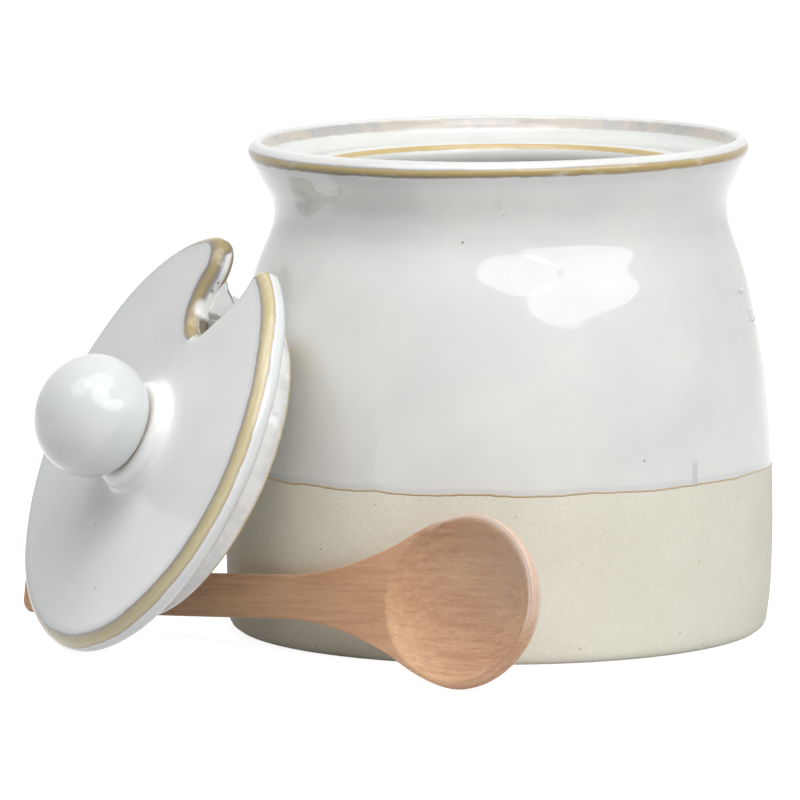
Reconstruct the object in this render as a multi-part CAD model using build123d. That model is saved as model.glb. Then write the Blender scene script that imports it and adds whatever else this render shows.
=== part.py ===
from build123d import *
import os
from bisect import bisect_left
from math import asin, cos, degrees, hypot, radians, sin, sqrt

# Stoneware sugar pot with a loose notched lid and a wooden spoon, in millimetres.
# The pot stands on the floor with its axis on Z. The viewer is on the -Y side.
# The lid is off: it leans against the pot's left side, and the spoon stands on its
# edge in front, with its handle passing between the lid and the pot.

# Pot outside
pot_height = 97.0
foot_radius = 53.2
foot_round = 2.2
foot_splay_rise = 8.0
belly_radius = 54.3
belly_height = 24.0
flank_radius = 53.65
flank_height = 41.6
shoulder_radius = 51.3
shoulder_height = 57.0
neck_radius = 47.8
neck_drop = 26.7
waist_radius = 44.3
waist_drop = 14.7
flare_radius = 47.2
flare_drop = 7.1

# Pot lip and the ledge that carries the lid
lip_thickness = 5.1
lip_bead_drop = 2.4
lip_crown_inset = 1.9
lip_flare_run = 1.6
lip_flare_slope = 0.6
lip_foot_slope = 0.35
ledge_drop = 5.0
ledge_thickness = 4.6
ledge_corner_round = 0.8
throat_round = 1.4

# Pot inside
pot_wall = 4.8
floor_thickness = 6.0
floor_round = 9.0

# Lid plate
lid_radius = 43.2
lid_clearance = 0.9
plate_thickness = 5.0
plate_top_round = 3.0
plate_low_round = 0.8

# Ring under the plate that drops into the pot's throat
flange_radius = 32.8
flange_clearance = 1.6
flange_wall = 5.4
flange_depth = 8.4
flange_round = 1.3
flange_cut_round = 1.2

# Notch for the spoon's handle
notch_width = 16.6
notch_reach = 20.2
notch_left_round = 6.5
notch_right_round = 3.2

# Raised boss and the ball knob luted on it
boss_radius = 11.0
boss_height = 3.2
boss_round = 1.5
boss_cove = 1.6
knob_radius = 12.2
knob_half_height = 10.9
knob_sink = 2.8

# Spoon
spoon_length = 147.8
spoon_handle_width = 8.6
spoon_handle_thickness = 4.0
spoon_tip_round = 1.8
spoon_neck_length = 50.0
spoon_neck_power = 1.9
spoon_flank_reach = 18.3
spoon_flank_width = 22.2
spoon_flank_power = 1.6
spoon_bowl_width = 33.4
spoon_bowl_reach = 19.5
spoon_bowl_thickness = 8.0
spoon_end_power = 0.4
spoon_hollow_depth = 5.6
spoon_rim = 1.5
spoon_hollow_back = 21.0
spoon_hollow_dome = 2.5
spoon_edge_round = 0.45

# How many sections the spoon's neck, cheeks and front are drawn through, and how far
# round the front's oval the last of them stands, in degrees
spoon_neck_sections = 6
spoon_cheek_sections = 3
spoon_front_sections = 7
spoon_tip_turn = 85.5

# Where the loose pieces rest. Turns are compass angles from +X in the floor plane.
floor_gap = 0.1
rest_gap = 0.3
lid_turn = 205.2
lid_lean = 25.2
lid_shift = -3.6
notch_turn = -12.5
spoon_turn = 221.5
spoon_lean = 11.5
spoon_offset = 52.9

# How finely the loose pieces are searched for the place where they touch the pot
wall_steps = 120
search_spacing = 2.5
facet_depth = 0.1
facet_turn = 0.3
search_rounds = 20

# Values that follow from the sizes above
notch_half = notch_width / 2
notch_centre = lid_radius - notch_reach + notch_half
throat_radius = flange_radius + flange_clearance
seat_radius = lid_radius + lid_clearance
lip_radius = seat_radius + lip_thickness
lip_bead_height = pot_height - lip_bead_drop
waist_height = pot_height - waist_drop
ledge_height = pot_height - ledge_drop
bowl_centre = spoon_length - spoon_bowl_reach
spoon_neck_start = bowl_centre - spoon_neck_length
spoon_flank_place = bowl_centre - spoon_flank_reach


def nearest_corner(sketch, x, y):
    """The sketch's vertex that lies nearest to a point."""
    return sketch.vertices().sort_by_distance((x, y, 0))[0]


def outer_wall():
    """Outside line of the pot from the foot up to the lip's widest point."""
    return Spline(
        (foot_radius, foot_round),
        (belly_radius, belly_height),
        (flank_radius, flank_height),
        (shoulder_radius, shoulder_height),
        (neck_radius, pot_height - neck_drop),
        (waist_radius, waist_height),
        (flare_radius, pot_height - flare_drop),
        (lip_radius, lip_bead_height),
        tangents=[
            (belly_radius - foot_radius, foot_splay_rise),
            (lip_radius - flare_radius, flare_drop - lip_bead_drop),
        ],
    )


def pot_section():
    """Half section of the pot, with X as the radius and Y as the height."""
    foot = Line((0, 0), (foot_radius - foot_round, 0))
    foot_corner = JernArc((foot_radius - foot_round, 0), (1, 0), foot_round, 90)
    crown = Spline(
        (lip_radius, lip_bead_height),
        (lip_radius - lip_crown_inset, pot_height),
        (seat_radius + lip_flare_run, ledge_height + ledge_drop / 2),
        (seat_radius, ledge_height),
        tangents=[(0, 1), (-1, 0), (-lip_flare_slope, -1), (-lip_foot_slope, -1)],
    )
    ledge_foot = ledge_height - ledge_thickness
    ledge = Polyline(
        (seat_radius, ledge_height),
        (throat_radius, ledge_height),
        (throat_radius, ledge_foot),
        (waist_radius - pot_wall, waist_height),
    )
    inside = Spline(
        (waist_radius - pot_wall, waist_height),
        (shoulder_radius - pot_wall, shoulder_height),
        (flank_radius - pot_wall, flank_height),
        (belly_radius - pot_wall, belly_height),
        (foot_radius - pot_wall, floor_thickness + floor_round),
    )
    floor_corner = JernArc((foot_radius - pot_wall, floor_thickness + floor_round), (0, -1), floor_round, -90)
    floor = Polyline((foot_radius - pot_wall - floor_round, floor_thickness), (0, floor_thickness), (0, 0))
    section = make_face([foot, foot_corner, outer_wall(), crown, ledge, inside, floor_corner, floor])
    section = fillet(nearest_corner(section, throat_radius, ledge_height), throat_round)
    section = fillet(nearest_corner(section, throat_radius, ledge_foot), throat_round)
    section = fillet(nearest_corner(section, seat_radius, ledge_height), ledge_corner_round)
    return section


def make_pot():
    """The pot, turned from its section."""
    return revolve(Plane.XZ * pot_section(), Axis.Z)


def notch_outline():
    """U shape of the notch seen from above, open towards +X."""
    run = notch_reach + lid_radius
    return Pos(notch_centre, 0) * (Circle(notch_half) + Pos(run / 2, 0) * Rectangle(run, notch_width))


def make_plate():
    """Lid plate with the notch and rounded edges. Its underside lies at Z 0."""
    outline = Circle(lid_radius) - notch_outline()
    mouth = sqrt(lid_radius**2 - notch_half**2)
    outline = fillet(nearest_corner(outline, mouth, notch_half), notch_left_round)
    outline = fillet(nearest_corner(outline, mouth, -notch_half), notch_right_round)
    plate = extrude(outline, plate_thickness)
    plate = fillet(plate.faces().sort_by(Axis.Z)[-1].edges(), plate_top_round)
    return fillet(plate.faces().sort_by(Axis.Z)[0].edges(), plate_low_round)


def make_flange():
    """Locating ring under the plate, cut through by the same notch."""
    ring = Circle(flange_radius) - Circle(flange_radius - flange_wall) - notch_outline()
    flange = extrude(ring, -flange_depth)
    flange = fillet(flange.edges().filter_by(Axis.Z), flange_cut_round)
    flange = fillet(flange.faces().sort_by(Axis.Z)[0].edges(), flange_round)
    return flange + extrude(ring, plate_thickness / 2)


def make_boss():
    """Raised boss on top of the plate, coved into it, that carries the knob."""
    top = plate_thickness + boss_height
    skirt = boss_radius + 2 * boss_cove
    section = make_face(
        Polyline(
            (0, plate_thickness / 2),
            (skirt, plate_thickness / 2),
            (skirt, plate_thickness),
            (boss_radius, plate_thickness),
            (boss_radius, top),
            (0, top),
            close=True,
        )
    )
    section = fillet(nearest_corner(section, boss_radius, top), boss_round)
    section = fillet(nearest_corner(section, boss_radius, plate_thickness), boss_cove)
    return revolve(Plane.XZ * section, Axis.Z)


def make_lid():
    """Plate, locating ring and boss as one fired piece."""
    return make_plate() + make_flange() + make_boss()


def make_knob():
    """Slightly flattened ball with a flat foot that sits on the boss."""
    foot = plate_thickness + boss_height
    middle = foot + knob_half_height - knob_sink
    ball = Pos(0, 0, middle) * scale(Sphere(1), by=(knob_radius, knob_radius, knob_half_height))
    return split(ball, Plane(origin=(0, 0, foot), z_dir=(0, 0, 1)), keep=Keep.TOP)


def spoon_half_width(x):
    """Half the spoon's width at a distance from the handle's end."""
    handle = spoon_handle_width / 2
    flank = spoon_flank_width / 2
    bowl = spoon_bowl_width / 2
    if x <= spoon_neck_start:
        return handle
    if x <= spoon_flank_place:
        share = (x - spoon_neck_start) / (spoon_flank_place - spoon_neck_start)
        return handle + (flank - handle) * share**spoon_neck_power
    if x <= bowl_centre:
        return bowl - (bowl - flank) * ((bowl_centre - x) / spoon_flank_reach) ** spoon_flank_power
    return bowl * sqrt(max(0.0, 1 - ((x - bowl_centre) / spoon_bowl_reach) ** 2))


def spoon_depth(x):
    """Thickness from the face to the deepest line of the back at a distance from the handle's end."""
    gain = spoon_bowl_thickness - spoon_handle_thickness
    if x <= bowl_centre:
        share = max(0.0, (x - spoon_neck_start) / spoon_neck_length)
        return spoon_handle_thickness + gain * share**2 * (3 - 2 * share)
    return spoon_bowl_thickness * (1 - ((x - bowl_centre) / spoon_bowl_reach) ** 2) ** spoon_end_power


def spoon_profile(x):
    """Cross section at one station: flat face up, rounded back."""
    half = spoon_half_width(x)
    back = EllipticalCenterArc((0, 0), half, spoon_depth(x), start_angle=180, arc_size=180)
    face = Line((half, 0), (-half, 0))
    return Plane(origin=(x, 0, 0), x_dir=(0, 1, 0), z_dir=(1, 0, 0)) * make_face([back, face])


def make_spoon_blank():
    """Handle, neck and bowl without the hollow. The face lies at Z 0, the handle starts at X 0."""
    handle = extrude(spoon_profile(spoon_neck_start), -spoon_neck_start)
    handle = fillet(handle.faces().sort_by(Axis.X)[0].edges().filter_by(GeomType.ELLIPSE), spoon_tip_round)
    neck_step = (spoon_flank_place - spoon_neck_start) / spoon_neck_sections
    cheek_step = spoon_flank_reach / spoon_cheek_sections
    front_step = radians(spoon_tip_turn) / (spoon_front_sections - 1)
    places = [spoon_neck_start + k * neck_step for k in range(spoon_neck_sections)]
    places += [spoon_flank_place + k * cheek_step for k in range(spoon_cheek_sections)]
    places += [bowl_centre + spoon_bowl_reach * sin(k * front_step) for k in range(spoon_front_sections)]
    return handle + loft([spoon_profile(x) for x in places])


def make_hollow():
    """Oval scoop: wide and shallow, with its poles along X above the face."""
    deep = spoon_hollow_depth + spoon_hollow_dome
    spread = 1 / sqrt(1 - (spoon_hollow_dome / deep) ** 2)
    front = spoon_length - spoon_rim
    back = bowl_centre - spoon_hollow_back
    long_half = (front - back) / 2 * spread
    wide_half = (spoon_bowl_width / 2 - spoon_rim) * spread
    ball = Rot(0, -90, 0) * Sphere(1)
    scoop = scale(ball, by=(long_half, wide_half, deep))
    return Pos((front + back) / 2, 0, spoon_hollow_dome) * scoop


def make_spoon():
    """Carved spoon with its hollow, all face edges eased."""
    spoon = make_spoon_blank() - make_hollow()
    face_edges = spoon.edges().filter_by_position(Axis.Z, -0.01, 0.01)
    return fillet(face_edges, spoon_edge_round)


def wall_samples():
    """Heights and radii of the pot's outside, from the foot up."""
    wall = outer_wall()
    points = [wall @ (i / wall_steps) for i in range(wall_steps + 1)]
    return [p.Y for p in points], [p.X for p in points]


def pot_radius_at(height, samples):
    """Outside radius of the pot at a height."""
    heights, radii = samples
    if height <= heights[0]:
        return radii[0]
    if height >= heights[-1]:
        return 0.0
    i = bisect_left(heights, height)
    share = (height - heights[i - 1]) / (heights[i] - heights[i - 1])
    return radii[i - 1] + share * (radii[i] - radii[i - 1])


def surface_points(piece):
    """Points all over a piece: the corners of its facets and more along their long edges."""
    corners, facets = piece.tessellate(facet_depth, facet_turn)
    edges = {tuple(sorted(pair)) for a, b, c in facets for pair in ((a, b), (b, c), (c, a))}
    points = [(v.X, v.Y, v.Z) for v in corners]
    for i, j in edges:
        (x0, y0, z0), (x1, y1, z1) = points[i], points[j]
        steps = int(hypot(x1 - x0, y1 - y0, z1 - z0) / search_spacing) + 1
        for k in range(1, steps):
            share = k / steps
            points.append((x0 + share * (x1 - x0), y0 + share * (y1 - y0), z0 + share * (z1 - z0)))
    return points


def push_to_pot(piece, direction):
    """Shift along a level direction that brings a piece from inside the pot to rest_gap outside it."""
    samples = wall_samples()
    points = [(x, y, pot_radius_at(z, samples) + rest_gap) for x, y, z in surface_points(piece)]
    near, far = 0.0, 2 * pot_height
    for _ in range(search_rounds):
        middle = (near + far) / 2
        dx, dy = direction.X * middle, direction.Y * middle
        if all(hypot(x + dx, y + dy) > limit for x, y, limit in points):
            far = middle
        else:
            near = middle
    return direction * far


def facing(turn, lean):
    """Unit vector at a compass angle, raised from the floor plane by the lean."""
    level = cos(radians(lean))
    return Vector(level * cos(radians(turn)), level * sin(radians(turn)), sin(radians(lean)))


def lid_rest(lid):
    """Where the lid rests: tipped on its rim, its flange towards the pot, its notch near the top."""
    up_axis = facing(lid_turn, lid_lean)
    up_slope = facing(lid_turn, lid_lean - 90) * -1
    notch_dir = up_slope.rotate(Axis((0, 0, 0), up_axis), notch_turn)
    tipped = Plane(origin=(0, 0, 0), x_dir=notch_dir, z_dir=up_axis).location
    sideways = facing(lid_turn + 90, 0) * lid_shift
    rise = floor_gap - (tipped * lid).bounding_box().min.Z
    raised = Pos(sideways.X, sideways.Y, rise) * tipped
    away = push_to_pot(raised * lid, facing(lid_turn, 0))
    return Pos(away) * raised


def spoon_rest(spoon):
    """Where the spoon rests: on the edges of its bowl and handle end, face to the viewer's side."""
    face_axis = facing(spoon_turn, spoon_lean)
    level_axis = facing(spoon_turn + 90, 0)
    reach = bowl_centre - spoon_tip_round
    climb = degrees(asin((spoon_bowl_width - spoon_handle_width) / 2 / reach))
    long_axis = level_axis.rotate(Axis((0, 0, 0), face_axis), climb)
    tipped = Plane(origin=(0, 0, 0), x_dir=long_axis, z_dir=face_axis).location
    along = level_axis * (spoon_offset - bowl_centre * cos(radians(climb)))
    rise = floor_gap - (tipped * spoon).bounding_box().min.Z
    raised = Pos(along.X, along.Y, rise) * tipped
    away = push_to_pot(raised * spoon, facing(spoon_turn, 0))
    return Pos(away) * raised


def main():
    """Build the four pieces, set them at rest and write one STEP for each."""
    os.makedirs("parts", exist_ok=True)
    lid = make_lid()
    spoon = make_spoon()
    lid_place = lid_rest(lid)
    pieces = {
        "pot": make_pot(),
        "lid": lid_place * lid,
        "lid_knob": lid_place * make_knob(),
        "spoon": spoon_rest(spoon) * spoon,
    }
    for name, piece in pieces.items():
        export_step(piece, f"parts/{name}.step")


if __name__ == "__main__":
    main()
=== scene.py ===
"""Looks of a stoneware sugar pot with a loose notched lid and a wooden spoon.

Sizes in the dataclasses are millimetres in each piece's own axes. Meshes are written in metres,
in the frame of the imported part: +Z up, the viewer on the -Y side, the origin under the pot's axis.
"""
import logging
import math
from dataclasses import dataclass, field
from enum import Enum
from typing import Any, Optional, Sequence, Union

import bpy
import numpy as np
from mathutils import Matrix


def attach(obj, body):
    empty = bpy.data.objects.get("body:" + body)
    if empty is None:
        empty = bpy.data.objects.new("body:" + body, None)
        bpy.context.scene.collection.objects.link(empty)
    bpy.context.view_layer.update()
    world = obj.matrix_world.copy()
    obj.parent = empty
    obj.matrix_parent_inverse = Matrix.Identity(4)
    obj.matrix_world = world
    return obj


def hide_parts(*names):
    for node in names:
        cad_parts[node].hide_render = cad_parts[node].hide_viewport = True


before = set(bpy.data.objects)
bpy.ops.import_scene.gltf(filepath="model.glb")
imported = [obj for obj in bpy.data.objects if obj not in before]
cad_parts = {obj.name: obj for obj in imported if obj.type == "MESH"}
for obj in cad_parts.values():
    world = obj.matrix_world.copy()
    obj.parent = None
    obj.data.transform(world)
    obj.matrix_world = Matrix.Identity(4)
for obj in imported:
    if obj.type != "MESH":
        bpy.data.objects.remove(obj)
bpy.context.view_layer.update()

MM = 0.001
OBJECT_MIDDLE = 0.05
OWN = "own_place"
EDGE = "edge_place"
log = logging.getLogger("sugar_pot")

Points = np.ndarray
Colour = tuple[float, float, float]


class Body(Enum):
    """Bodies of the frame that the pieces ride on."""

    POT = "pot"
    LID = "lid"
    SPOON = "spoon"


class Slot(Enum):
    """Names of the material slots."""

    GLAZE = "white_glaze"
    WOOD = "spoon_wood"


# Geometry helpers


def smooth_step(value: Points, low: float, high: float) -> Points:
    """Rise from 0 at low to 1 at high along 3t^2 - 2t^3, flat at both ends.

    Args:
        value: Values to map.
        low: Where the rise starts.
        high: Where the rise ends.

    Returns:
        The mapped values.
    """
    share = np.clip((value - low) / (high - low), 0.0, 1.0)
    return share * share * (3.0 - 2.0 * share)


def arc(centre: Sequence[float], radius: float, start: float, end: float, count: int) -> Points:
    """Points on a circle: centre + radius * (cos a, sin a), with a going from start to end.

    Args:
        centre: Centre of the circle.
        radius: Radius of the circle.
        start: First angle in degrees.
        end: Last angle in degrees.
        count: Number of points, both ends included.

    Returns:
        Points as an array of shape (count, 2).
    """
    angle = np.radians(np.linspace(start, end, count))
    return np.asarray(centre) + radius * np.stack([np.cos(angle), np.sin(angle)], 1)


def line(start: Sequence[float], end: Sequence[float], count: int) -> Points:
    """Evenly spaced points on a straight line, both ends included.

    Args:
        start: First point.
        end: Last point.
        count: Number of points.

    Returns:
        Points as an array of shape (count, 2).
    """
    return np.linspace(np.asarray(start, float), np.asarray(end, float), count)


def curve_through(knots: Sequence[Sequence[float]], first: Sequence[float], last: Sequence[float],
                  count: int) -> Points:
    """Clamped cubic curve through knots, its parameter the chord length from knot to knot.

    Each span is the Hermite cubic of its two end points and slopes. The slopes come from the
    linear system that makes the bend continuous at every inner knot.

    Args:
        knots: Points that the curve goes through.
        first: Direction at the first knot.
        last: Direction at the last knot.
        count: Number of points wanted on the curve.

    Returns:
        Points as an array of shape (count, 2).
    """
    knot = np.asarray(knots, float)
    gap = np.linalg.norm(np.diff(knot, axis=0), axis=1)
    place = np.concatenate([[0.0], np.cumsum(gap)])
    size = len(knot)
    system = np.eye(size)
    right = np.zeros_like(knot)
    right[0] = np.asarray(first, float) / np.linalg.norm(first)
    right[-1] = np.asarray(last, float) / np.linalg.norm(last)
    inner = np.arange(1, size - 1)
    before, after = gap[:-1], gap[1:]
    system[inner, inner - 1] = after
    system[inner, inner] = 2.0 * (before + after)
    system[inner, inner + 1] = before
    rise = np.diff(knot, axis=0) / gap[:, None]
    right[inner] = 3.0 * (after[:, None] * rise[:-1] + before[:, None] * rise[1:])
    slope = np.linalg.solve(system, right)
    wanted = np.linspace(0.0, place[-1], count)
    span = np.clip(np.searchsorted(place, wanted, side="right") - 1, 0, size - 2)
    width = gap[span][:, None]
    t = (wanted - place[span])[:, None] / width
    return ((2 * t**3 - 3 * t**2 + 1) * knot[span] + (t**3 - 2 * t**2 + t) * width * slope[span]
            + (3 * t**2 - 2 * t**3) * knot[span + 1] + (t**3 - t**2) * width * slope[span + 1])


def joined(*runs: Points) -> Points:
    """Runs of points one after another, without the points that two neighbours share.

    Args:
        runs: Arrays of points in order.

    Returns:
        One array of points.
    """
    points = np.concatenate(runs)
    step = np.linalg.norm(np.diff(points, axis=0), axis=1)
    return points[np.concatenate([[True], step > 1e-6])]


def spaced(points: Points, weight: Points, count: int) -> Points:
    """Points of a line set again at even steps of its weighted length.

    Args:
        points: Points of the line.
        weight: How densely each stretch is filled, one value for each point.
        count: Number of points wanted.

    Returns:
        Points as an array of shape (count, dimensions).
    """
    step = np.linalg.norm(np.diff(points, axis=0), axis=1) * 0.5 * (weight[1:] + weight[:-1])
    run = np.concatenate([[0.0], np.cumsum(step)])
    wanted = np.linspace(0.0, run[-1], count)
    return np.stack([np.interp(wanted, run, points[:, k]) for k in range(points.shape[1])], 1)


def run_length(points: Points) -> Points:
    """Length along a line of points, from its start to each point."""
    return np.concatenate([[0.0], np.cumsum(np.linalg.norm(np.diff(points, axis=0), axis=1))])


def soft_noise(points: Points, wavelength: float, seed: int, terms: int = 28) -> Points:
    """Smooth seeded noise of about unit size: the sum of cosines along random directions.

    Args:
        points: Places, of shape (..., dimensions).
        wavelength: Typical distance from one crest to the next.
        seed: Seed of the random directions and phases.
        terms: Number of cosines.

    Returns:
        One value for each place.
    """
    draw = np.random.default_rng(seed)
    wave = draw.normal(size=(terms, points.shape[-1]))
    wave *= (2.0 * math.pi / wavelength) * draw.uniform(0.6, 1.3, (terms, 1)) / np.linalg.norm(
        wave, axis=1, keepdims=True)
    phase = draw.uniform(0.0, 2.0 * math.pi, terms)
    return np.cos(points @ wave.T + phase).sum(-1) * math.sqrt(2.0 / terms)


@dataclass(frozen=True)
class Placement:
    """Where a piece's own axes stand in the frame: an origin and three unit axes."""

    origin: Points
    axes: Points

    @staticmethod
    def from_axes(origin: Sequence[float], along: Sequence[float], outward: Sequence[float]) -> "Placement":
        """Right-handed axes from the x axis and the z axis, x made square to z.

        Args:
            origin: Origin in millimetres.
            along: Direction of the x axis.
            outward: Direction of the z axis.

        Returns:
            The placement.
        """
        z = np.asarray(outward, float) / np.linalg.norm(outward)
        x = np.asarray(along, float) - np.dot(along, z) * z
        x /= np.linalg.norm(x)
        return Placement(np.asarray(origin, float), np.stack([x, np.cross(z, x), z]))

    def to_frame(self, points: Points) -> Points:
        """Own coordinates to the frame's: origin + x * X + y * Y + z * Z."""
        return self.origin + points @ self.axes


IN_FRAME = Placement(np.zeros(3), np.eye(3))


@dataclass
class Surface:
    """A closed grid of points: rows along the profile, columns round it and a pole at each end.

    The poles close the first and the last row with fans. Flip turns the faces of a grid that
    runs the other way round.
    """

    grid: Points
    edge: Optional[Points]
    start_pole: Points
    end_pole: Points
    flip: bool = False

    def faces(self, first: int) -> list[list[int]]:
        """Quads between neighbouring rows and columns, and the fans of the poles.

        Args:
            first: Number of this surface's first point in the mesh.

        Returns:
            Faces as lists of point numbers, facing out for a grid that runs upward and
            counterclockwise.
        """
        rows, columns = self.grid.shape[:2]
        number = first + np.arange(rows * columns).reshape(rows, columns)
        number = np.concatenate([number, number[:, :1]], 1)
        low, high = number[:-1], number[1:]
        quads = np.stack([low[:, :-1], low[:, 1:], high[:, 1:], high[:, :-1]], -1).reshape(-1, 4)
        pole = np.full(columns, first + rows * columns)
        start_fan = np.stack([pole, number[0, 1:], number[0, :-1]], 1)
        end_fan = np.stack([pole + 1, number[-1, :-1], number[-1, 1:]], 1)
        step = -1 if self.flip else 1
        return [face for part in (quads, start_fan, end_fan) for face in part[:, ::step].tolist()]

    def flat(self, values: Points, start: Points, end: Points) -> Points:
        """The grid's values in one list, with those of the poles after them."""
        return np.concatenate([values.reshape(-1, 3), np.reshape([start, end], (2, 3))])

    def points(self) -> Points:
        """All points in one list, poles last."""
        return self.flat(self.grid, self.start_pole, self.end_pole)

    def edge_values(self) -> Points:
        """The edge coordinates of all points, where a pole takes the mean of its row."""
        edge = np.zeros_like(self.grid) if self.edge is None else self.edge
        return self.flat(edge, edge[0].mean(0), edge[-1].mean(0))


def write_piece(name: str, surfaces: Sequence[Surface], placement: Placement) -> bpy.types.Object:
    """One mesh object from one or more surfaces, with its own coordinates kept on its points.

    Args:
        name: Name of the piece.
        surfaces: Closed surfaces in the piece's own millimetres.
        placement: Where the piece stands in the frame.

    Returns:
        The object, at the origin, with its place in its mesh.
    """
    own = np.concatenate([surface.points() for surface in surfaces])
    edge = np.concatenate([surface.edge_values() for surface in surfaces])
    faces: list[list[int]] = []
    first = 0
    for surface in surfaces:
        faces += surface.faces(first)
        first += len(surface.points())
    mesh = bpy.data.meshes.new(name)
    mesh.from_pydata((placement.to_frame(own) * MM).tolist(), [], faces)
    for attribute, values in ((OWN, own), (EDGE, edge)):
        mesh.attributes.new(attribute, "FLOAT_VECTOR", "POINT").data.foreach_set("vector", values.ravel())
    mesh.polygons.foreach_set("use_smooth", [True] * len(mesh.polygons))
    mesh.update()
    piece = bpy.data.objects.new(name, mesh)
    bpy.context.scene.collection.objects.link(piece)
    return piece


# Shader helpers


Link = Union["Wire", bpy.types.NodeSocket, float, int, Sequence[float]]


class Wire:
    """A value socket whose Python arithmetic adds Math nodes to its board."""

    def __init__(self, board: "Board", socket: bpy.types.NodeSocket) -> None:
        """Keep the socket and the board that it belongs to."""
        self.board = board
        self.socket = socket

    def _math(self, operation: str, *values: Link) -> "Wire":
        """A Math node on these values, with the clamp off."""
        return self.board.node("ShaderNodeMath", {"operation": operation}, dict(enumerate(values)))

    def __add__(self, other: Link) -> "Wire":
        """This plus other."""
        return self._math("ADD", self, other)

    def __radd__(self, other: Link) -> "Wire":
        """Other plus this."""
        return self._math("ADD", other, self)

    def __sub__(self, other: Link) -> "Wire":
        """This minus other."""
        return self._math("SUBTRACT", self, other)

    def __rsub__(self, other: Link) -> "Wire":
        """Other minus this."""
        return self._math("SUBTRACT", other, self)

    def __mul__(self, other: Link) -> "Wire":
        """This times other."""
        return self._math("MULTIPLY", self, other)

    def __rmul__(self, other: Link) -> "Wire":
        """Other times this."""
        return self._math("MULTIPLY", other, self)

    def __truediv__(self, other: Link) -> "Wire":
        """This over other."""
        return self._math("DIVIDE", self, other)

    def __abs__(self) -> "Wire":
        """The size of this without its sign."""
        return self._math("ABSOLUTE", self)

    def max(self, other: Link) -> "Wire":
        """The larger of this and other."""
        return self._math("MAXIMUM", self, other)

    def step(self, low: float, high: float) -> "Wire":
        """Smooth rise from 0 at low to 1 at high, or a fall where low is the larger.

        Args:
            low: Value that gives 0.
            high: Value that gives 1.

        Returns:
            The mapped value.
        """
        if low < high:
            return self.board.node("ShaderNodeMapRange", {"interpolation_type": "SMOOTHSTEP"},
                                   {"Value": self, "From Min": low, "From Max": high})
        return 1.0 - self.step(high, low)

    def band(self, centre: Link, half: float, soft: float) -> "Wire":
        """A stripe that is 1 within half of centre and fades to 0 over soft.

        Args:
            centre: Middle of the stripe.
            half: Half of its full width.
            soft: Width of the fade on each side.

        Returns:
            The stripe's mask.
        """
        return abs(self - centre).step(half + soft, half)


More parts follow.
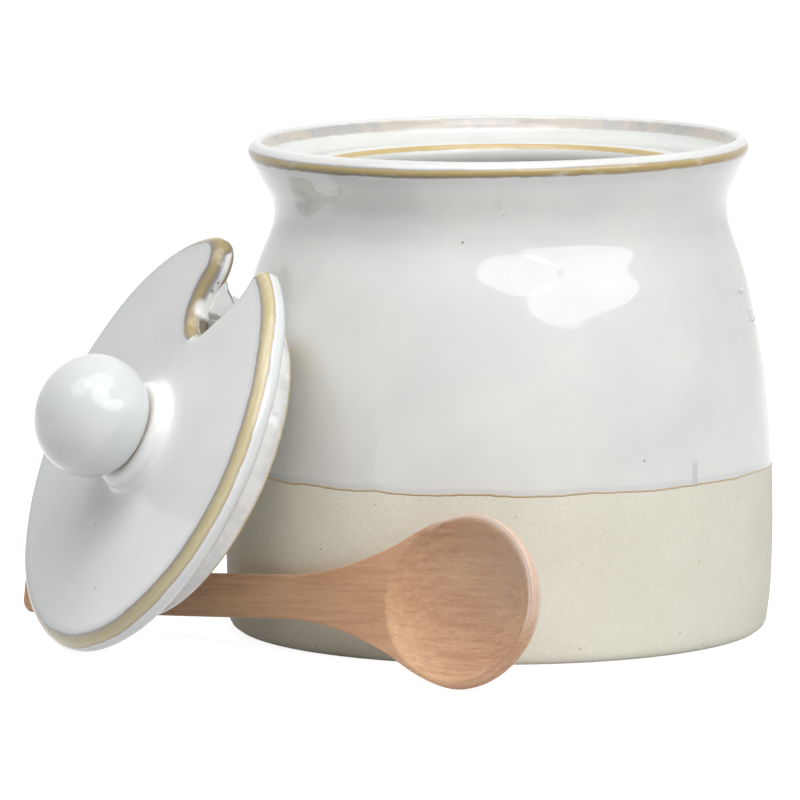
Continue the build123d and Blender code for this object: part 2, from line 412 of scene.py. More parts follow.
class Board:
    """The node tree of a material or a world, with one method that makes any node."""

    def __init__(self, owner: Union[bpy.types.Material, bpy.types.World]) -> None:
        """Start with an empty tree.

        Args:
            owner: The material or the world that the tree belongs to.
        """
        self.owner = owner
        owner.use_nodes = True
        self.tree = owner.node_tree
        self.tree.nodes.clear()

    @classmethod
    def for_material(cls, name: str) -> "Board":
        """An empty material of this name."""
        return cls(bpy.data.materials.new(name))

    def node(self, kind: str, settings: Optional[dict[str, Any]] = None,
             inputs: Optional[dict[Union[str, int], Link]] = None, output: Union[str, int] = 0) -> Wire:
        """Add a node, set it up and feed its sockets.

        Args:
            kind: The node's type.
            settings: Properties set first, and under "stops" a ramp's places and colours.
            inputs: Values or links of its input sockets, by name or number.
            output: Output socket that the answer wraps.

        Returns:
            The wrapped output socket.
        """
        made = self.tree.nodes.new(kind)
        for key, value in (settings or {}).items():
            if key == "stops":
                self._set_stops(made.color_ramp, value)
            else:
                setattr(made, key, value)
        for key, value in (inputs or {}).items():
            socket = made.inputs[key]
            if isinstance(value, Wire):
                self.tree.links.new(value.socket, socket)
            elif socket.type == "RGBA" and len(value) == 3:
                socket.default_value = (*value, 1.0)
            else:
                socket.default_value = value
        return Wire(self, made.outputs[output] if len(made.outputs) else None)

    @staticmethod
    def _set_stops(ramp: bpy.types.ColorRamp, stops: Sequence[tuple[float, Colour]]) -> None:
        """Give a colour ramp these stops in place of its own.

        Args:
            ramp: The ramp.
            stops: Places from 0 to 1 and their colours.
        """
        while len(ramp.elements) > 1:
            ramp.elements.remove(ramp.elements[-1])
        for number, (place, colour) in enumerate(stops):
            stop = ramp.elements[0] if number == 0 else ramp.elements.new(place)
            stop.position = place
            stop.color = (*colour, 1.0)

    def own(self, name: str = OWN) -> Wire:
        """The piece's own coordinates in millimetres, read from its mesh."""
        return self.node("ShaderNodeAttribute", {"attribute_name": name}, output="Vector")

    def parts(self, vector: Wire) -> tuple[Wire, Wire, Wire]:
        """The x, y and z of a vector.

        Args:
            vector: The vector to take apart.

        Returns:
            Its three values.
        """
        split = self.node("ShaderNodeSeparateXYZ", inputs={0: vector})
        outputs = split.socket.node.outputs
        return tuple(Wire(self, outputs[k]) for k in range(3))

    def stretched(self, vector: Wire, scale: Sequence[float]) -> Wire:
        """A vector with each part multiplied by its own scale."""
        return self.node("ShaderNodeVectorMath", {"operation": "MULTIPLY"}, {0: vector, 1: scale})

    def moved(self, vector: Wire, shift: Sequence[float]) -> Wire:
        """A vector with a shift added, so that two patterns don't fall on each other."""
        return self.node("ShaderNodeVectorMath", {"operation": "ADD"}, {0: vector, 1: shift})

    def noise(self, vector: Wire, size: float, detail: float = 2.0, roughness: float = 0.5,
              distortion: float = 0.0) -> Wire:
        """Noise from 0 to 1 with patches of about this size in the vector's unit."""
        return self.node("ShaderNodeTexNoise", None, {
            "Vector": vector, "Scale": 1.0 / size, "Detail": detail, "Roughness": roughness,
            "Distortion": distortion})

    def spots(self, vector: Wire, spacing: float, size: float, soft: float) -> Wire:
        """Scattered round spots: 1 within size of the nearest of random points about spacing apart.

        Args:
            vector: Coordinates of the pattern.
            spacing: Typical distance between points.
            size: Radius of a spot.
            soft: Width of its fading edge.

        Returns:
            The spots' mask.
        """
        distance = self.node("ShaderNodeTexVoronoi", {"feature": "F1"},
                             {"Vector": vector, "Scale": 1.0 / spacing, "Randomness": 1.0}, "Distance")
        return (distance * spacing).step(size + soft, size)

    def mix(self, share: Link, low: Link, high: Link) -> Wire:
        """Colour that goes from low at share 0 to high at share 1."""
        return self.node("ShaderNodeMix", {"data_type": "RGBA"}, {0: share, 6: low, 7: high}, 2)

    def ramp(self, share: Wire, stops: Sequence[tuple[float, Colour]]) -> Wire:
        """Colour read from stops along a ramp."""
        return self.node("ShaderNodeValToRGB", {"stops": stops}, {0: share})

    def bump(self, height: Wire, distance: float) -> Wire:
        """Bump from a height whose full step is distance in metres."""
        return self.node("ShaderNodeBump", None, {"Height": height, "Distance": distance, "Strength": 1.0})

    def surface(self, **inputs: Link) -> bpy.types.Material:
        """Finish the material with one Principled shader.

        Args:
            inputs: Its sockets, with spaces written as underscores.

        Returns:
            The material.
        """
        named = {key.replace("_", " "): value for key, value in inputs.items()}
        shader = self.node("ShaderNodeBsdfPrincipled", None, named)
        self.node("ShaderNodeOutputMaterial", None, {"Surface": shader})
        return self.owner


def dress(piece: bpy.types.Object, material: bpy.types.Material) -> None:
    """Give a piece this one material."""
    piece.data.materials.clear()
    piece.data.materials.append(material)


def settle(piece: bpy.types.Object, material: bpy.types.Material, node: str, body: Body) -> None:
    """Dress a piece, hide the node that it stands in for and set it on the body that it rides on.

    Args:
        piece: The piece.
        material: Its material.
        node: The node that it replaces.
        body: The body that it rides on.
    """
    dress(piece, material)
    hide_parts(node)
    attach(piece, body.value)


# Finishes


Stops = tuple[tuple[float, Colour], ...]


@dataclass(frozen=True)
class PotRuns:
    """Lengths along the pot's profile, from the foot, at which its upper parts stand."""

    lip: float
    crown: float
    throat: float


@dataclass(frozen=True)
class BowlOutline:
    """The spoon's bowl: station of its widest place, reach from there to its front, half width."""

    place: float
    reach: float
    half_width: float


@dataclass(frozen=True)
class Patch:
    """A round patch on a piece: full within one distance of its place and gone at a larger one."""

    place: tuple[float, float, float]
    full: float
    none: float

    def mask(self, board: Board, own: Wire) -> Wire:
        """Smooth fall with the distance from the patch's place.

        Args:
            board: Board of the material.
            own: The piece's own coordinates.

        Returns:
            The patch's mask.
        """
        away = board.moved(own, [-value for value in self.place])
        distance = board.node("ShaderNodeVectorMath", {"operation": "LENGTH"}, {0: away}, output="Value")
        return distance.step(self.none, self.full)


@dataclass(frozen=True)
class Glaze:
    """Colours of the glossy white reactive glaze, where it lies thick and where it breaks.

    The stops run down over a broken edge, from the white above it to the white below it. The whiter white
    and the near-black brown are not glaze colours but painted highlight and painted shade.
    """

    thick: Colour = (0.75, 0.762, 0.742)
    pale: Colour = (0.81, 0.818, 0.79)
    # Cool grey: a glaze tint in patches on the ring, and painted shade on the lid's shaded side, the plate's
    # side face and the knob.
    cool: Colour = (0.64, 0.69, 0.71)
    fringe: Colour = (0.45, 0.46, 0.50)
    gold: Colour = (0.56, 0.39, 0.17)
    brown: Colour = (0.30, 0.19, 0.09)
    # Painted light: a whiter white for painted highlight on the lid's lit side and round the boss.
    bright: Colour = (0.88, 0.885, 0.875)
    blush: Colour = (0.60, 0.54, 0.465)
    lilac: Colour = (0.475, 0.46, 0.455)
    seat_gold: Colour = (0.64, 0.49, 0.215)
    clay_line: Colour = (0.66, 0.48, 0.24)
    # Painted shade: near-black brown laid where the notch shows only the shaded space under the plate and
    # inside the ring.
    hollow: Colour = (0.15, 0.12, 0.075)
    pinhole: Colour = (0.22, 0.20, 0.18)
    lip_stops: Stops = (
        (0.0, (0.52, 0.54, 0.60)), (0.1, (0.44, 0.39, 0.34)), (0.28, (0.53, 0.42, 0.165)),
        (0.45, (0.44, 0.33, 0.11)), (0.65, (0.29, 0.215, 0.075)), (0.82, (0.19, 0.15, 0.085)),
        (0.93, (0.25, 0.23, 0.21)), (1.0, (0.45, 0.45, 0.46)))
    rim_stops: Stops = (
        (0.0, (0.44, 0.44, 0.46)), (0.06, (0.33, 0.30, 0.27)), (0.14, (0.39, 0.33, 0.23)),
        (0.3, (0.50, 0.42, 0.24)), (0.55, (0.60, 0.515, 0.295)), (0.74, (0.66, 0.59, 0.36)),
        (0.86, (0.62, 0.53, 0.32)), (0.93, (0.56, 0.38, 0.16)), (0.97, (0.48, 0.46, 0.53)),
        (1.0, (0.62, 0.66, 0.77)))
    notch_stops: Stops = (
        (0.0, (0.38, 0.37, 0.43)), (0.12, (0.25, 0.22, 0.19)), (0.28, (0.36, 0.28, 0.145)),
        (0.55, (0.41, 0.33, 0.17)), (0.8, (0.27, 0.22, 0.14)), (1.0, (0.36, 0.37, 0.46)))
    roughness: float = 0.055

    def field(self, board: Board, own: Wire) -> Wire:
        """Mottled white: broad cool patches and fine cloudy variation.

        Args:
            board: Board of the material.
            own: The piece's own coordinates.

        Returns:
            The colour.
        """
        broad = board.noise(own, 26.0, 3.0, 0.55)
        fine = board.noise(board.moved(own, (40.0, 7.0, 3.0)), 3.4, 4.0, 0.6)
        share = (broad * 0.82 + fine * 0.18).step(0.34, 0.66)
        return board.mix(share, self.thick, self.pale)

    def pinholes(self, board: Board, own: Wire) -> Wire:
        """Mask of the few tiny pits left where gas broke through the glaze.

        Args:
            board: Board of the material.
            own: The piece's own coordinates.

        Returns:
            The pits' mask.
        """
        spots = board.spots(own, 6.5, 0.22, 0.12)
        place = board.noise(board.moved(own, (3.0, 90.0, 11.0)), 14.0, 1.0).step(0.6, 0.66)
        return spots * place

    def relief(self, board: Board, own: Wire, pits: Wire) -> Wire:
        """Height of the glaze skin: soft ripple, orange peel and pits.

        Args:
            board: Board of the material.
            own: The piece's own coordinates.
            pits: Mask of the pits.

        Returns:
            The height.
        """
        ripple = board.noise(own, 9.0, 1.0)
        peel = board.noise(own, 1.3, 1.0)
        return ripple * 0.15 + peel * 0.01 - pits * 1.2


@dataclass(frozen=True)
class PotFinish:
    """Glazed pot with a breaking line under its lip and a bare clay foot."""

    glaze: Glaze = Glaze()
    clay: Colour = (0.87, 0.86, 0.75)
    clay_dark: Colour = (0.79, 0.76, 0.65)
    speck: Colour = (0.32, 0.25, 0.18)
    line_height: float = 33.0
    line_top: float = 0.95
    line_width: float = 1.85
    blush_height: float = 95.0
    blush_half: float = 0.7
    drip_place: float = 37.5
    drip_top: float = 38.4
    drip_foot: float = 32.6
    clay_roughness: float = 0.85

    def build(self, runs: PotRuns) -> bpy.types.Material:
        """The pot's material.

        Args:
            runs: Lengths along the profile at which the lip, crown and throat stand.

        Returns:
            The material.
        """
        board = Board.for_material("pot_glaze_and_clay")
        glaze = self.glaze
        own = board.own()
        x, _, z = board.parts(own)
        run, _, level = board.parts(board.own(EDGE))
        wave = board.noise(own, 11.0, 3.0, 0.6) - 0.5
        edge = z + wave * 1.5 - self.line_height
        glazed = edge.step(-0.12, 0.12)
        clay = self.clay_colour(board, own)
        white = glaze.field(board, own)
        pits = glaze.pinholes(board, own)
        white = board.mix(pits, white, glaze.pinhole)
        white = self.lip_line(board, own, white, run - runs.lip, x)
        white = self.inside_lines(board, own, white, run, level, runs)
        white = board.mix(edge.band(0.6, 0.2, 0.9) * 0.24, white, glaze.fringe)
        white = board.mix(edge.band(0.10, 0.11, 0.14), white, glaze.clay_line)
        white = board.mix(self.drip(board, own), white, glaze.fringe)
        colour = board.mix(glazed, clay, white)
        roughness = glazed * (glaze.roughness - self.clay_roughness) + self.clay_roughness
        skin = glaze.relief(board, own, pits)
        grain = board.noise(own, 0.5, 4.0, 0.7)
        height = glazed * (skin + 1.2) + (1.0 - glazed) * grain * 0.6
        return board.surface(Base_Color=colour, Roughness=roughness, IOR=1.5,
                             Normal=board.bump(height, 0.00018))

    def lip_line(self, board: Board, own: Wire, white: Wire, above: Wire, x: Wire) -> Wire:
        """The gold to brown line that the glaze breaks into below the lip.

        Args:
            board: Board of the material.
            own: The pot's own coordinates.
            white: Colour without the line.
            above: Length up the profile from the lip's widest point.
            x: Distance to the right of the pot's axis.

        Returns:
            The colour with the line.
        """
        slow = board.noise(own, 16.0, 2.0, 0.5) - 0.5
        ragged = board.noise(own, 2.6, 3.0, 0.6) - 0.5
        wide = self.line_width + slow * 1.1 + x.step(10.0, -48.0) * 0.35
        down = (self.line_top - above + slow * 0.5 - x.step(6.0, -22.0) * 0.28) / wide
        colour = board.ramp(down + ragged * 0.22, self.glaze.lip_stops)
        colour = board.mix(x.step(-20.0, 46.0) * 0.5, colour, self.glaze.gold)
        streak = board.noise(board.stretched(own, (1.0, 1.0, 3.0)), 5.0, 2.0).step(0.56, 0.7)
        colour = board.mix(streak * 0.22, colour, self.glaze.pale)
        mask = down.step(-0.14, 0.06) * (down + ragged * 0.35).step(1.12, 0.9)
        below = down.step(0.8, 1.0) * down.step(2.6, 1.0)
        return board.mix(mask, board.mix(below * 0.3, white, self.glaze.fringe), colour)

    def inside_lines(self, board: Board, own: Wire, white: Wire, run: Wire, level: Wire,
                     runs: PotRuns) -> Wire:
        """The blush band just inside the lip and the gold line on the throat's upper corner.

        Args:
            board: Board of the material.
            own: The pot's own coordinates.
            white: Colour without them.
            run: Length along the profile.
            level: Height on the unworn profile.
            runs: Lengths along the profile at which the parts stand.

        Returns:
            The colour with both.
        """
        blotch = board.noise(own, 9.0, 3.0, 0.6)
        fine = board.noise(own, 2.0, 2.0) - 0.5
        inner = (run - runs.crown).step(0.0, 0.4)
        band = (level + fine * 0.5).band(self.blush_height, self.blush_half, 0.5) * inner
        tint = board.mix(blotch.step(0.4, 0.6), self.glaze.lilac, self.glaze.blush)
        white = board.mix(band * blotch.step(0.2, 0.36) * 0.9, white, tint)
        line = (run + fine * 0.4).band(runs.throat, 0.55, 0.3)
        return board.mix(line, white, self.glaze.seat_gold)

    def drip(self, board: Board, own: Wire) -> Wire:
        """Mask of one short run of glaze just above the clay line, on the camera's side.

        Args:
            board: Board of the material.
            own: The piece's own coordinates.

        Returns:
            The run's mask.
        """
        x, y, z = board.parts(own)
        across = x.band(self.drip_place, 0.3, 0.5)
        upright = z.step(self.drip_top, self.drip_top - 1.9) * z.step(self.drip_foot, self.drip_foot + 0.8)
        return across * upright * y.step(0.0, -10.0) * 0.45

    def clay_colour(self, board: Board, own: Wire) -> Wire:
        """Bare fired clay: fine grain, faint cloud and a few dark specks.

        Args:
            board: Board of the material.
            own: The piece's own coordinates.

        Returns:
            The colour.
        """
        grain = board.noise(own, 0.55, 3.0, 0.7)
        cloud = board.noise(own, 17.0, 2.0)
        colour = board.mix((grain * 0.6 + cloud * 0.4).step(0.3, 0.7), self.clay_dark, self.clay)
        specks = board.spots(own, 5.0, 0.16, 0.1)
        return board.mix(specks * 0.6, colour, self.speck)


@dataclass(frozen=True)
class LidFinish:
    """White glaze that breaks gold along the plate's rounded edges, with painted light on its lit side and
    round the boss, and painted shade on its shaded side, its side face, the crease above the ring and round
    the notch's end.
    """

    glaze: Glaze = Glaze()
    band_start: float = 0.8
    band_width: float = 3.05
    notch_band_start: float = 0.8
    notch_band_width: float = 3.5
    foot_line: float = 6.1
    boss_shine: Patch = Patch((0.0, 0.0, 6.0), 11.0, 14.5)
    lobe_tip: Patch = Patch((41.8, 12.8, 3.0), 2.2, 5.0)
    white_blob: Patch = Patch((27.2, 6.6, 3.6), 1.3, 2.5)
    notch_end: Patch = Patch((22.6, 5.2, 4.0), 1.4, 3.0)
    shaded_foot: Patch = Patch((22.8, 4.6, 1.6), 2.6, 3.8)
    shaded_ring: Patch = Patch((22.0, 15.0, -6.0), 7.0, 12.0)
    wall_pits: tuple[Patch, ...] = (
        Patch((32.6, 8.3, 2.05), 0.2, 0.34), Patch((30.65, 8.2, 2.38), 0.32, 0.544),
        Patch((31.2, 8.3, 2.9), 0.16, 0.272))

    def build(self) -> bpy.types.Material:
        """The lid's material.

        The edge coordinates are the run over the edge, 0 and 0 on the plate, and the depth below
        the plate, 1 and the distance from the axis on the ring.

        Returns:
            The material.
        """
        board = Board.for_material("lid_glaze")
        glaze = self.glaze
        own = board.own()
        run, on_ring, radius = board.parts(board.own(EDGE))
        wave = board.noise(own, 7.0, 3.0, 0.6) - 0.5
        white = glaze.field(board, own)
        up, across, _ = board.parts(own)
        # Painted light: whiter glaze towards own -Y, the lid's lit lower right.
        white = board.mix(across.step(6.0, -36.0), white, glaze.bright)
        # Painted shade: cooler, darker glaze towards own +Y and -X, the lid's shaded lower left.
        white = board.mix((across - up * 0.5).step(-10.0, 44.0) * 0.45, white, glaze.cool)
        white = board.mix(self.boss_shine.mask(board, own), white, glaze.bright)
        pits = glaze.pinholes(board, own)
        white = board.mix(pits, white, glaze.pinhole)
        plate = self.edge_lines(board, own, white, run)
        patch = board.noise(board.moved(own, (9.0, 31.0, 5.0)), 6.0, 3.0, 0.6)
        low = (run + wave * 3.0).step(5.0, 7.6) * patch.step(0.34, 0.56)
        ring = board.mix(patch.step(0.5, 0.6) * 0.35, white, glaze.cool)
        ring = board.mix(low * up.step(-4.0, 10.0) * 0.5, ring, glaze.lilac)
        gold_edge = (run + wave * 1.2).step(7.2, 8.0) * up.step(-26.0, -10.0)
        ring = board.mix(gold_edge * 0.85, ring, glaze.seat_gold)
        # Painted shade: a dark line in the crease where the ring leaves the plate's underside.
        shadow_seam = run.band(0.0, 0.15, 0.25) * up.step(8.0, -6.0)
        ring = board.mix(shadow_seam * 0.6, ring, glaze.fringe)
        # Painted shade: near-black brown on the ring's inner side near the notch, seen through it in shade.
        behind = radius.step(28.4, 27.7) * self.shaded_ring.mask(board, own)
        ring = board.mix(behind * 0.95, ring, glaze.hollow)
        colour = board.mix(on_ring, plate, ring)
        return board.surface(Base_Color=colour, Roughness=glaze.roughness, IOR=1.5,
                             Normal=board.bump(glaze.relief(board, own, pits), 0.00014))

    def edge_lines(self, board: Board, own: Wire, white: Wire, run: Wire) -> Wire:
        """The tan band over the rim, the darker one round the notch's left side and end, and painted shade
        on the plate's side face and the notch's end wall.

        Args:
            board: Board of the material.
            own: The lid's own coordinates.
            white: Colour without the bands.
            run: Length over the rounded edge from where the flat top ends.

        Returns:
            The colour with the bands.
        """
        x, y, _ = board.parts(own)
        slow = board.noise(own, 9.0, 2.0, 0.5) - 0.5
        ragged = board.noise(own, 2.2, 3.0, 0.6) - 0.5
        streak = board.noise(board.stretched(own, (1.0, 1.0, 2.5)), 1.8, 2.0).step(0.55, 0.75)
        over = (run + slow * 0.7 + ragged * 0.25 - self.band_start) / self.band_width
        rim = board.ramp(over, self.glaze.rim_stops)
        rim = board.mix(streak * 0.15, rim, self.glaze.pale)
        bare_wall = y.step(-10.2, -9.2) * y.step(3.0, 1.6) * x.step(19.0, 20.5)
        rim_mask = over.step(-0.08, 0.04) * over.step(1.08, 0.96) * (1.0 - bare_wall)
        halo = over.step(-0.6, 0.0) * over.step(0.3, 0.0) * (1.0 - bare_wall)
        white = board.mix(halo * 0.35, white, self.glaze.fringe)
        wide = self.notch_band_width + self.lobe_tip.mask(board, own) * 3.0
        inner = (run + slow * 0.8 + ragged * 0.3 - self.notch_band_start) / wide
        notch = board.ramp(inner, self.glaze.notch_stops)
        notch_mask = inner.step(-0.1, 0.1) * inner.step(1.1, 0.92)
        notch = board.mix(self.white_blob.mask(board, own) * 0.9, notch, self.glaze.pale)
        notch = board.mix(self.notch_end.mask(board, own) * 0.3, notch, self.glaze.gold)
        in_notch = y.step(1.6, 2.6) * y.step(16.5, 13.5) * x.step(18.6, 20.6)
        colour = board.mix(in_notch, rim, notch)
        mask = rim_mask * (1.0 - in_notch) + notch_mask * in_notch
        foot = (run + slow * 0.6).band(self.foot_line, 0.4, 0.4) * in_notch * x.step(28.0, 32.0)
        white = board.mix(foot * 0.85, white, self.glaze.brown)
        # Painted shade: the plate's side face below the band made cooler and darker.
        side = run.step(3.9, 4.7) * (1.0 - in_notch)
        white = board.mix(side * 0.4, white, self.glaze.cool)
        # Painted shade: near-black brown on the notch's end wall, standing in for the shaded space seen
        # through the notch.
        under = run.step(3.5, 4.3) * self.shaded_foot.mask(board, own)
        white = board.mix(under * 0.95, white, self.glaze.hollow)
        for pit in self.wall_pits:
            white = board.mix(pit.mask(board, own) * 0.7, white, self.glaze.pinhole)
        return board.mix(mask * (1.0 - under), white, colour)


@dataclass(frozen=True)
class KnobFinish:
    """White glaze on the ball, made darker and cooler as painted shade, with a painted shadow line round its
    foot.
    """

    glaze: Glaze = Glaze()

    def build(self, shadow_seam: float) -> bpy.types.Material:
        """The knob's material.

        Args:
            shadow_seam: Height of the painted shadow line round the ball's foot, in the lid's own axes.

        Returns:
            The material.
        """
        board = Board.for_material("knob_glaze")
        glaze = self.glaze
        own = board.own()
        _, _, z = board.parts(own)
        wave = board.noise(own, 5.0, 2.0) - 0.5
        # Painted shade: the knob's glaze is a darker, cooler copy of the same glaze.
        white = board.mix(0.38, glaze.field(board, own), glaze.cool)
        pits = glaze.pinholes(board, own)
        white = board.mix(pits, white, glaze.pinhole)
        # Painted shadow: a dark line round the ball's foot, where it meets the boss.
        colour = board.mix((z + wave * 0.8).band(shadow_seam, 0.25, 0.5) * 0.7, white, glaze.brown)
        return board.surface(Base_Color=colour, Roughness=glaze.roughness, IOR=1.5,
                             Normal=board.bump(glaze.relief(board, own, pits), 0.00012))


@dataclass(frozen=True)
class WoodFinish:
    """Pinkish-brown close-grained wood, sanded and left dry."""

    light: Colour = (0.75, 0.48, 0.29)
    dark: Colour = (0.54, 0.29, 0.175)
    fleck: Colour = (0.33, 0.17, 0.10)
    chalk: Colour = (0.80, 0.62, 0.46)
    rim_pale: Colour = (0.88, 0.73, 0.64)
    greyed: Colour = (0.70, 0.54, 0.43)
    ruddy: Colour = (0.66, 0.35, 0.18)
    roughness: float = 0.6

    def build(self, bowl: BowlOutline) -> bpy.types.Material:
        """The spoon's material, with its grain along the handle.

        Args:
            bowl: Outline of the bowl.

        Returns:
            The material.
        """
        board = Board.for_material("spoon_wood_grain")
        own = board.own()
        long_grain = board.noise(board.stretched(own, (0.05, 1.0, 1.0)), 1.1, 5.0, 0.65, 0.4)
        broad = board.noise(board.stretched(own, (0.18, 1.0, 1.0)), 8.0, 2.0)
        share = (long_grain * 0.65 + broad * 0.35).step(0.32, 0.68)
        colour = board.mix(share, self.dark, self.light)
        pores = board.noise(board.stretched(own, (0.22, 1.0, 1.0)), 0.35, 2.0, 0.6).step(0.62, 0.74)
        colour = board.mix(pores * 0.5, colour, self.fleck)
        weave = board.noise(board.stretched(own, (0.45, 1.0, 1.0)), 0.42, 3.0, 0.7)
        colour = board.mix(weave.step(0.5, 0.72) * 0.32, colour, self.chalk)
        colour = board.mix(weave.step(0.5, 0.3) * 0.2, colour, self.dark)
        along, _, _ = board.parts(own)
        neck = along.step(60.0, 84.0) * along.step(122.0, 104.0)
        colour = board.mix(neck * 0.3, colour, self.ruddy)
        colour = self.bowl_marks(board, own, colour, bowl)
        height = long_grain * 0.7 - pores * 0.5 + weave * 0.5
        return board.surface(Base_Color=colour, Roughness=self.roughness, IOR=1.45,
                             Normal=board.bump(height, 0.00012))

    def bowl_marks(self, board: Board, own: Wire, colour: Wire, bowl: BowlOutline) -> Wire:
        """Marks on the bowl: greyer upper front, a paler rim on the upper side and a dark line inside the
        lower side.

        Args:
            board: Board of the material.
            own: The spoon's own coordinates.
            colour: Colour without the wear.
            bowl: Outline of the bowl.

        Returns:
            The colour with the marks.
        """
        x, y, z = board.parts(own)
        ragged = board.noise(own, 2.4, 3.0, 0.6) - 0.5
        front, side = (x - bowl.place) / bowl.reach, y / bowl.half_width
        out = front * front + side * side + ragged * 0.03
        grey = x.step(118.0, 140.0) * y.step(-8.0, 8.0)
        colour = board.mix(grey * 0.42, colour, self.greyed)
        upper = (x + y).step(128.0, 138.0) * y.step(-8.0, 0.0)
        colour = board.mix(out.step(0.9, 0.95) * upper * 0.35, colour, self.rim_pale)
        colour = board.mix(out.band(0.93, 0.02, 0.03) * upper * 0.7, colour, self.rim_pale)
        lower = x.step(130.0, 138.0) * y.step(2.0, -3.0) * z.step(-2.2, -0.4)
        return board.mix(out.band(0.84, 0.02, 0.035) * lower * 0.5, colour, self.dark)


# Pieces


@dataclass(frozen=True)
class Mark:
    """A shallow swelling or dent left by the thrower's fingers, with a bell-shaped section.

    Its turn is in degrees from the camera side, positive to the right. Lean tips its upper end
    to the right. A negative depth is a dent.
    """

    turn: float
    height: float
    across: float
    up: float
    depth: float
    lean: float = 0.0

    def relief(self, turn: Points, radius: Points, height: Points) -> Points:
        """Height of the mark: depth * exp(-(across^2 + up^2) / 2), in its own tipped axes.

        Args:
            turn: Turn of each place in radians.
            radius: Distance of each place from the axis.
            height: Height of each place.

        Returns:
            The outward shift of each place.
        """
        side = (turn - math.radians(self.turn) + math.pi) % (2.0 * math.pi) - math.pi
        side, rise = side * radius, height - self.height
        tip = math.radians(self.lean)
        over = (side * math.cos(tip) - rise * math.sin(tip)) / self.across
        along = (side * math.sin(tip) + rise * math.cos(tip)) / self.up
        return self.depth * np.exp(-0.5 * (over**2 + along**2))


@dataclass
class Pot:
    """The thrown pot: foot, belly, shoulder, waist, flared lip, ledge, throat and inside."""

    height: float = 96.6
    foot_radius: float = 53.1
    foot_round: float = 2.2
    belly_radius: float = 54.05
    belly_height: float = 24.0
    wall: float = 4.8
    floor: float = 6.0
    floor_round: float = 9.0
    lower_belly: tuple[float, float] = (53.75, 12.0)
    shoulder: tuple[tuple[float, float], ...] = (
        (53.7, 38.0), (52.55, 50.0), (51.15, 58.0), (49.4, 66.0), (47.3, 73.0), (45.2, 78.2))
    waist_radius: float = 44.4
    waist_height: float = 82.5
    flare: tuple[tuple[float, float], ...] = ((45.2, 86.2), (46.4, 88.6), (47.6, 91.0))
    inner_shoulder: tuple[float, float] = (51.3, 57.0)
    inner_waist_drop: float = 0.5
    lip_radius: float = 49.1
    lip_bead: float = 94.4
    crown_radius: float = 47.2
    seat_radius: float = 44.1
    seat_flare: tuple[float, float] = (1.5, 2.4)
    seat_foot: float = 0.6
    ledge_height: float = 92.0
    ledge_thickness: float = 4.6
    throat_radius: float = 34.4
    throat_round: float = 1.4
    throat_line: float = 0.3
    pole_gap: float = 0.6
    wobble: float = 0.16
    wobble_length: float = 34.0
    fine_wobble: float = 0.02
    fine_wobble_length: float = 15.0
    even_foot: tuple[float, float] = (1.0, 9.0)
    even_throat: tuple[float, float] = (30.0, 42.0)
    rim_tilt: float = 0.4
    tilt_start: float = 70.0
    rows: int = 250
    columns: int = 384
    close_points: int = 500
    close_weight: float = 2.2
    runs: Optional[PotRuns] = field(default=None, init=False)
    marks: tuple[Mark, ...] = (
        Mark(-2.0, 65.0, 6.5, 3.6, 0.08),
        Mark(17.5, 62.5, 5.0, 3.6, -0.02),
        Mark(-30.0, 88.3, 6.5, 1.5, -0.10),
        Mark(14.0, 87.6, 8.0, 1.6, -0.07),
        Mark(40.0, 88.5, 1.3, 7.0, 0.07, 24.0),
        Mark(44.4, 57.0, 1.2, 8.0, 0.08, 4.0),
        Mark(60.0, 55.0, 3.0, 14.0, 0.09, -6.0),
        Mark(-48.0, 78.0, 2.0, 9.0, 0.07, -3.0),
        Mark(-88.0, 80.0, 14.0, 6.0, -0.45),
        Mark(88.0, 80.0, 14.0, 5.0, 0.25),
    )
    blisters: tuple[tuple[float, float, float], ...] = (
        (79.0, 79.6, 0.42), (75.0, 67.8, 0.45), (79.0, 63.6, 0.38), (80.0, 61.9, 0.5), (-64.0, 71.0, 0.38))
    bead_stretch: float = 1.3
    bead_run: float = 60.0
    piece: Optional[bpy.types.Object] = field(default=None, init=False)

    def outer_wall(self) -> Points:
        """Smooth curve from the foot's corner up the outside to the lip's widest point.

        Returns:
            Points as radius and height.
        """
        knots = [
            (self.foot_radius, self.foot_round), self.lower_belly, (self.belly_radius, self.belly_height),
            *self.shoulder, (self.waist_radius, self.waist_height), *self.flare,
            (self.lip_radius, self.lip_bead)]
        return curve_through(knots, (0.1, 1.0), (0.2, 1.0), 400)

    def profile(self) -> Points:
        """Closed half section from the axis below the floor to the axis above it.

        Returns:
            Points as radius and height, counterclockwise.
        """
        foot = arc((self.foot_radius - self.foot_round, self.foot_round), self.foot_round, -90, 0, 14)
        crown = curve_through(
            [(self.lip_radius, self.lip_bead), (self.crown_radius, self.height),
             (self.seat_radius + self.seat_flare[0], self.ledge_height + self.seat_flare[1]),
             (self.seat_radius, self.ledge_height + self.seat_foot)],
            (0.0, 1.0), (-0.35, -1.0), 60)
        corner = arc((self.throat_radius + self.throat_round, self.ledge_height - self.throat_round),
                     self.throat_round, 90, 180, 10)
        ledge_foot = self.ledge_height - self.ledge_thickness
        lower = arc((self.throat_radius + self.throat_round, ledge_foot + self.throat_round),
                    self.throat_round, 180, 262, 8)
        inside = curve_through(
            [(lower[-1][0], lower[-1][1]),
             (self.waist_radius - self.wall, self.waist_height - self.inner_waist_drop),
             (self.inner_shoulder[0] - self.wall, self.inner_shoulder[1]),
             (self.belly_radius - self.wall, self.belly_height),
             (self.foot_radius - self.wall, self.floor + self.floor_round)],
            (1.0, -0.35), (0.0, -1.0), 160)
        floor_corner = arc((self.foot_radius - self.wall - self.floor_round, self.floor + self.floor_round),
                           self.floor_round, 0, -90, 20)
        return joined(line((self.pole_gap, 0.0), (self.foot_radius - self.foot_round, 0.0), 30), foot,
                      self.outer_wall(), crown, corner, lower, inside, floor_corner,
                      line(floor_corner[-1], (self.pole_gap, self.floor), 24))

